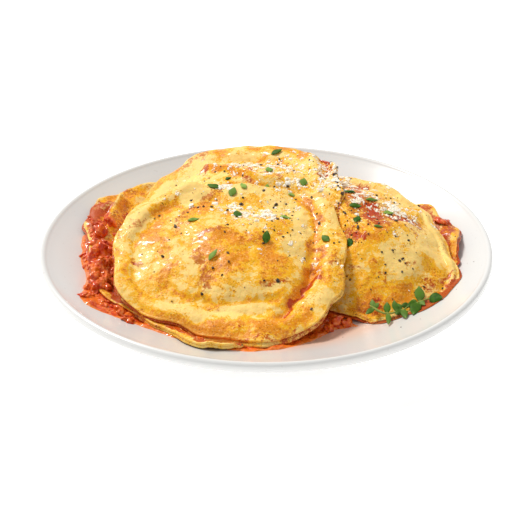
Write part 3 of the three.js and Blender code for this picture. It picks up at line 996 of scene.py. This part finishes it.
def joined(pieces):
    """Many small meshes as one: their points, and their faces counted on from each other."""
    points = np.vstack([part for part, _ in pieces])
    faces = []
    start = 0
    for part, part_faces in pieces:
        faces += [[start + corner for corner in face] for face in part_faces]
        start += len(part)
    return points, faces


def facing(normal, turn):
    """Rotation that stands a thing up along a normal, after a turn about its own axis."""
    up = Vector(normal).to_track_quat("Z", "Y").to_matrix()
    return np.array(up @ Matrix.Rotation(turn, 3, "Z"))


DROP_HEIGHT = 80
dish_points, dish_faces = joined(laid)
surface_of_dish = BVHTree.FromPolygons([tuple(point) for point in dish_points], dish_faces)
sauce_starts = len(dish_faces) - len(sauce_faces)


def land(x, y, on_sauce=False):
    """Where a thing dropped at x, y comes to rest, and the slope it rests on."""
    start = Vector((x + PLATE_CENTRE[0], y + PLATE_CENTRE[1], DROP_HEIGHT))
    spot, normal, face, _ = surface_of_dish.ray_cast(start, Vector((0, 0, -1)))
    if spot is None or (on_sauce and face < sauce_starts):
        return None, None
    return np.array(spot), np.array(normal)


def crumbs(places, sizes, level, roughness, flatness, sink, dice, on_sauce=False):
    """Small irregular lumps resting on the dish, each with its own shape."""
    shape, faces = ball(level)
    made = []
    for (x, y), size in zip(places, sizes):
        spot, normal = land(x, y, on_sauce)
        if spot is None:
            continue
        stretch = dice.uniform(0.65, 1.25, 3) * (1, 1, flatness)
        knobs = dice.uniform(-1, 1, (len(shape), 1))
        if level > 1:
            knobs = hills(shape * 3 + dice.uniform(0, 90, 3), 2.2, 5)[:, None]
        bent = shape * (1 + roughness * knobs) * stretch
        turned = bent @ facing(normal, dice.uniform(0, 6.3)).T
        made.append((spot + normal * size * flatness * sink + turned * size, faces))
    return joined(made)


def spread_over(patches, dice):
    """Random spots, thickest at the middle of each patch (x, y, spread x, spread y, turn, count)."""
    spots = []
    for x, y, wide, deep, turn, count in patches:
        out = dice.normal(size=(count, 2)) * (wide, deep)
        c, s = bearing(turn)
        spots.append(out @ np.array([[c, s], [-s, c]]) + (x, y))
    return np.vstack(spots)


def make_tomato_bits():
    """Bits of tomato lying on the sauce, and some spilled over its edge and on the pasta."""
    dice = np.random.default_rng(81)
    patches = [
        (-73, -8, 6, 10, 0, 70),
        (-75, 12, 5, 8, 0, 44),
        (-70, -26, 6, 6, 0, 34),
        (-58, -44, 7, 4, -40, 40),
        (-36, -60, 9, 2.5, -25, 30),
        (20, -54, 14, 3, 8, 60),
        (44, -44, 7, 3, 20, 26),
        (78, 26, 3, 8, 0, 20),
    ]
    places = spread_over(patches, dice)
    sizes = np.clip(dice.lognormal(0.4, 0.5, len(places)), 0.6, 3.2)
    on_sauce = crumbs(places, sizes, 3, 0.45, 0.6, 0.05, dice, on_sauce=True)
    spilled = [(-75, 17, 3.0, 6, 0, 40), (-66, 8, 2, 5, 0, 8), (81, 19, 0.9, 1.6, 0, 5)]
    places = spread_over(spilled, dice)
    sizes = np.clip(dice.lognormal(0.35, 0.5, len(places)), 0.6, 2.6)
    anywhere = crumbs(places, sizes, 3, 0.45, 0.55, 0.1, dice)
    points, faces = joined([on_sauce, anywhere])
    add_piece("tomato_bits", points, faces, stew, masks={"thin": np.zeros(len(points))})


make_tomato_bits()


# ------------------------------------------------------------------ the grated cheese
# Hard cheese grated to fine dry crumbs and thrown on from above, so that it lies in drifts
# on the tops and in the hollows, with single larger crumbs beyond.
def make_cheese():
    dice = np.random.default_rng(91)
    drifts = [
        (-19.5, 21.5, 2.2, 1.2, 0, 24),
        (-8, 1, 7, 4, -20, 60),
        (4, -14, 9, 9, 0, 6),
        (20, 0, 4, 12, 20, 4),
        (26, -24, 6, 10, 0, 3),
        (2, 42, 17, 5, -6, 84),
        (-16, 46, 8, 4, 0, 16),
        (12, 24, 9, 4, -20, 26),
        (29, 30, 4, 9, 10, 62),
        (36, 38, 5, 4, 0, 20),
        (44, 14, 5, 6, 0, 30),
        (56, 9, 4, 4, 0, 34),
        (52, 30, 5, 5, 0, 12),
        (66, 10, 5, 10, -30, 14),
        (-34, 14, 8, 10, 0, 4),
    ]
    middles = spread_over(drifts, dice)
    heaped = np.repeat(middles, dice.integers(5, 26, len(middles)), axis=0)
    heaped = heaped + dice.normal(size=heaped.shape) * dice.uniform(0.25, 1.0, (len(heaped), 1))
    scattered = [(-6, 0, 18, 14, 0, 200), (10, 34, 24, 10, 0, 300), (54, 8, 10, 14, 0, 180)]
    strays = spread_over(scattered, dice)
    places = np.vstack([middles, heaped, strays])
    sizes = np.clip(dice.lognormal(-1.3, 0.45, len(places)), 0.13, 0.7)
    sizes[: len(middles)] *= 1.9
    points, faces = crumbs(places, sizes, 1, 0.3, 0.6, 0.2, dice)
    dry = Finish("grated_cheese")
    shade = dry.grain(1.8, detail=2)
    cream = dry.tint(shade.above(0.40, 0.70), colour(255, 250, 236), colour(255, 238, 206))
    material = dry.surface({
        "Base Color": cream,
        "Roughness": shade * 0.3 + 0.45,
        "Normal": dry.relief(dry.grain(0.3, detail=1), 0.05),
    })
    add_piece("grated_cheese", points, faces, material).data.shade_flat()


make_cheese()


# ------------------------------------------------------------------ the ground pepper
# Black peppercorns cracked in a mill: hard angular grains, black skin and brown inside.
def make_pepper():
    dice = np.random.default_rng(101)
    every_coarse, coarse = 23, 0.95
    patches = [
        (-8, -4, 24, 20, 0, 120),
        (14, -8, 14, 18, 0, 60),
        (4, 40, 24, 8, 0, 70),
        (30, 26, 7, 10, 0, 50),
        (54, -4, 14, 20, 0, 120),
        (-44, 8, 10, 16, 0, 20),
    ]
    places = spread_over(patches, dice)
    sizes = np.clip(dice.lognormal(-1.15, 0.45, len(places)), 0.14, 0.8)
    sizes[::every_coarse] = coarse
    points, faces = crumbs(places, sizes, 1, 0.4, 0.7, 0.3, dice)
    husk = Finish("cracked_pepper")
    cracked = husk.grain(1.1, detail=1).above(0.42, 0.6)
    skin = husk.tint(cracked, colour(30, 22, 16), colour(96, 62, 34))
    material = husk.surface({
        "Base Color": skin,
        "Roughness": husk.grain(0.5, detail=1) * 0.4 + 0.35,
        "Normal": husk.relief(husk.grain(0.25, detail=1), 0.05),
    })
    add_piece("ground_pepper", points, faces, material).data.shade_flat()


make_pepper()


# ------------------------------------------------------------------ the thyme
# Fresh thyme. Loose leaves picked off the stem are dropped over the top, and one whole tip
# of a stem, with its leaves in pairs, leans on the raviolo at the front right.
def leaf(length, width, cup, droop, dice):
    """A thyme leaf along +X, lying on its back: narrow stalk, broad middle, blunt tip."""
    sides = 14
    along = np.linspace(0, 0.985, 17)
    half = 0.5 * width * np.maximum(np.sin(math.pi * along**0.85) ** 0.8, 0.13 - 0.1 * along)
    turn = np.arange(sides) * 2 * math.pi / sides
    out = half[:, None] * np.cos(turn)
    groove = 0.09 * np.exp(-((out / 0.16) ** 2)) * (np.sin(turn) > 0)
    thick = (0.16 - groove) * np.sin(turn)
    share = along[:, None]
    lift = -cup * out**2 / width - droop * length * share**2 + 0.05 * length * np.sin(share * 5)
    wave = 0.07 * np.sin(turn * 2 + share * 9 + dice.uniform(0, 6))
    rings = np.stack([length * share + 0 * out, out, thick + lift + wave], -1)
    foot = rings[0].mean(0) - (0.02 * length, 0, 0)
    tip = rings[-1].mean(0) + (0.04 * length, 0, 0)
    points = np.vstack([foot, rings.reshape(-1, 3), tip])
    rib = np.exp(-((rings[..., 1] / 0.2) ** 2)).ravel()
    under = (np.sin(turn) < -0.1)[None, :] * np.ones(len(along))[:, None]
    masks = (np.concatenate([[1], rib, [0]]), np.concatenate([[0], under.ravel(), [0]]))
    return points, [face[::-1] for face in ring_faces(len(along), sides)], masks


def make_thyme_finish():
    herb = Finish("thyme_leaf")
    tone = herb.mask("tone")
    mottle = herb.grain(1.6, detail=2)
    green = herb.tint(tone, colour(24, 70, 3), colour(166, 196, 92))
    green = herb.tint(mottle.above(0.4, 0.7) * 0.5, green, colour(74, 124, 10))
    green = herb.tint(herb.mask("rib") * 0.6, green, colour(150, 176, 110))
    green = herb.tint(herb.mask("under") * 0.6, green, colour(142, 172, 88))
    green = herb.tint(herb.mask("stalk"), green, colour(150, 156, 74))
    return herb.surface({
        "Base Color": green,
        "Roughness": mottle * 0.25 + 0.36,
        "Specular IOR Level": 0.08,
        "Normal": herb.relief(herb.grain(0.35, detail=1), 0.05),
    })


thyme = make_thyme_finish()
LOOSE_LEAVES = [
    # x, y, heading, rise, length, width, tone
    (0.0, -18.8, 88, 24, 5.2, 2.6, 0.1),
    (25.9, -14.0, 120, 8, 4.6, 2.4, 0.2),
    (16.9, 26.6, 84, 10, 5.6, 2.6, 0.35),
    (4.8, 56.1, 20, 10, 5.0, 2.4, 0.1),
    (1.4, 35.4, 100, 12, 4.6, 2.6, 0.6),
    (0.4, 21.8, 80, 10, 3.6, 1.8, 0.9),
    (11.6, 17.7, 10, 4, 4.0, 1.4, 0.9),
    (8.3, -1.3, 0, 4, 4.4, 1.8, 0.8),
    (37.6, 19.0, 175, 8, 5.0, 2.2, 0.0),
    (39.2, 7.7, 10, 8, 5.2, 2.2, 0.1),
    (46.8, 13.0, 12, 8, 5.0, 2.0, 0.3),
    (39.8, -3.0, 70, 12, 5.0, 2.4, 0.05),
    (36.6, -13.4, 96, 10, 5.2, 2.6, 0.0),
    (48.5, -9.0, 0, 5, 3.6, 1.6, 0.2),
    (54.0, 5.9, 20, 6, 4.8, 2.2, 0.7),
    (-23.4, 20.8, 150, 8, 5.4, 2.8, 0.15),
    (-31.9, -5.4, 10, 6, 4.6, 2.0, 0.55),
    (-15.0, 16.1, 75, 10, 5.4, 2.6, 0.4),
    (-17.3, 29.5, 30, 6, 2.6, 1.4, 0.0),
    (-12.5, -1.7, 100, 10, 5.2, 2.8, 0.1),
    (-22.6, -29.2, 50, 20, 5.4, 1.8, 0.6),
    (-10.0, 20.0, 120, 10, 4.0, 2.0, 0.85),
]


def make_loose_leaves():
    dice = np.random.default_rng(111)
    length_scale = 1.12
    width_scale = 1.35
    pieces = []
    marks = []
    for x, y, heading, rise, length, width, tone in LOOSE_LEAVES:
        length_now, width_now = length * length_scale, width * width_scale
        points, faces, (rib, under) = leaf(length_now, width_now, 0.25, 0.05, dice)
        spot, normal = land(x, y)
        c, s = bearing(rise)
        points = (points - (length / 2, 0, 0)) @ np.array([[c, 0, s], [0, 1, 0], [-s, 0, c]])
        up = Vector(normal)
        ahead = Vector((*bearing(heading), 0))
        side = up.cross(ahead).normalized()
        ahead = side.cross(up).normalized()
        frame_of_leaf = np.array([ahead, side, up])
        lift = 0.25 + 0.5 * length * s
        pieces.append((points @ frame_of_leaf + spot + np.array(normal) * lift, faces))
        marks.append((rib, under, np.full(len(rib), tone)))
    points, faces = joined(pieces)
    masks = {kind: np.concatenate(parts) for kind, parts in zip(("rib", "under", "tone"), zip(*marks))}
    add_piece("loose_thyme_leaves", points, faces, thyme, masks=masks)


make_loose_leaves()

STEM = [
    # x, y, height of the points that the stem runs through
    (44.0, -42.6, 13.4),
    (48.0, -46.2, 12.7),
    (51.2, -47.2, 12.4),
    (54.9, -45.5, 12.2),
    (58.5, -43.3, 12.3),
    (61.0, -40.5, 12.5),
    (65.2, -38.5, 13.0),
    (69.0, -37.4, 13.9),
]
SPRIG_LEAVES = [
    # share along the stem, heading, rise, length, width, tone
    (0.04, 92, 14, 4.2, 1.7, 0.3),
    (0.05, -131, 2, 5.4, 1.8, 0.2),
    (0.06, 47, 14, 3.4, 1.6, 0.4),
    (0.27, 87, 12, 6.2, 2.2, 0.15),
    (0.29, -91, 3, 8.0, 1.8, 0.3),
    (0.43, 96, 10, 6.4, 2.2, 0.1),
    (0.51, 137, 20, 4.2, 2.0, 0.2),
    (0.53, -85, 9, 7.4, 2.2, 0.2),
    (0.51, -131, 6, 4.4, 1.9, 0.15),
    (0.70, -162, 14, 3.6, 2.0, 0.2),
    (0.83, -137, 8, 6.2, 2.3, 0.1),
    (0.83, -104, 6, 10.0, 3.4, 0.1),
    (0.85, 87, 10, 8.8, 3.2, 0.25),
    (0.85, -62, 12, 3.8, 1.8, 0.3),
    (0.82, -171, 18, 3.2, 1.8, 0.3),
    (1.00, -22, 22, 6.3, 3.8, 0.05),
]


def make_sprig():
    dice = np.random.default_rng(121)
    width_scale = 1.4
    line = smooth_line(np.array(STEM), 8) + PLATE_CENTRE
    sides = 8
    turn = np.arange(sides) * 2 * math.pi / sides
    ahead = np.gradient(line, axis=0)
    ahead /= np.linalg.norm(ahead, axis=1)[:, None]
    side = np.cross(ahead, (0, 0, 1))
    side /= np.linalg.norm(side, axis=1)[:, None]
    up = np.cross(side, ahead)
    knots = np.exp(-((np.arange(len(line)) % 11 - 5) / 1.2) ** 2)
    girth = np.linspace(0.5, 0.3, len(line)) * (1 + 0.25 * knots)
    rings = line[:, None] + girth[:, None, None] * (
        np.cos(turn)[None, :, None] * side[:, None] + np.sin(turn)[None, :, None] * up[:, None]
    )
    points = np.vstack([line[0], rings.reshape(-1, 3), line[-1]])
    pieces = [(points, ring_faces(len(rings), sides))]
    plain = np.zeros(len(points))
    marks = [(plain, plain, plain + 0.3, plain + 1)]
    for share, heading, rise, length, width, tone in SPRIG_LEAVES:
        root = line[round(share * (len(line) - 1))]
        shape, faces, (rib, under) = leaf(length, width * width_scale, 0.2, 0.06, dice)
        c, s = bearing(heading)
        turned = (
            Matrix.Rotation(math.radians(heading), 3, "Z")
            @ Matrix.Rotation(math.radians(-rise - 16 * max(s, 0)), 3, "Y")
            @ Matrix.Rotation(0.65 * c + dice.uniform(-0.3, 0.3), 3, "X")
        )
        pieces.append((shape @ np.array(turned).T + root, faces))
        stalk = np.clip(1 - shape[:, 0] / (0.14 * length), 0, 1)
        marks.append((rib, under, np.full(len(shape), tone), stalk))
    points, faces = joined(pieces)
    kinds = ("rib", "under", "tone", "stalk")
    masks = {kind: np.concatenate(parts) for kind, parts in zip(kinds, zip(*marks))}
    add_piece("thyme_tip", points, faces, thyme, ["thyme_sprig"], masks)


make_sprig()


# ------------------------------------------------------------------ the table and the light
# A plain white card under the dish. One soft sun stands behind it on the left, and a bright
# room lights it from all round.
def make_stage():
    card = Finish("white_card")
    paper = card.tint(card.grain(140, detail=1), colour(252, 252, 252), colour(255, 255, 255))
    material = card.surface({
        "Base Color": paper,
        "Roughness": 0.8,
        "Emission Color": (1.0, 1.0, 1.0, 1.0),
        "Emission Strength": 0.42,
    })
    mesh = bpy.data.meshes.new("floor")
    half = 4.0
    corners = [(-half, -half, 0), (half, -half, 0), (half, half, 0), (-half, half, 0)]
    mesh.from_pydata(corners, [], [(0, 1, 2, 3)])
    mesh.materials.append(material)
    floor = bpy.data.objects.new("floor", mesh)
    scene.collection.objects.link(floor)


make_stage()


def add_lamp(name, kind, turn, power, **settings):
    lamp = bpy.data.lights.new(name, kind)
    lamp.energy = power
    for key, value in settings.items():
        setattr(lamp, key, value)
    holder = bpy.data.objects.new(name, lamp)
    holder.rotation_euler = [math.radians(value) for value in turn]
    scene.collection.objects.link(holder)
    return holder


add_lamp("key", "SUN", (-28, -30, 0), 2.9, angle=math.radians(14), color=(1.0, 0.985, 0.96))
world = bpy.data.worlds.new("bright_room")
world.use_nodes = True
world.node_tree.nodes["Background"].inputs["Color"].default_value = (1.0, 0.995, 0.985, 1.0)
world.node_tree.nodes["Background"].inputs["Strength"].default_value = 0.55
scene.world = world
scene.view_settings.view_transform = "Standard"

lens = bpy.data.cameras.new("camera")
lens.lens = 107.36
lens.sensor_width = 36.0
lens.clip_start = 0.05
lens.clip_end = 20.0
camera = bpy.data.objects.new("camera", lens)
camera.location = (-0.00044, -0.6146, 0.3571)
camera.rotation_euler = (math.radians(60.483), 0, 0)
scene.collection.objects.link(camera)
scene.camera = camera
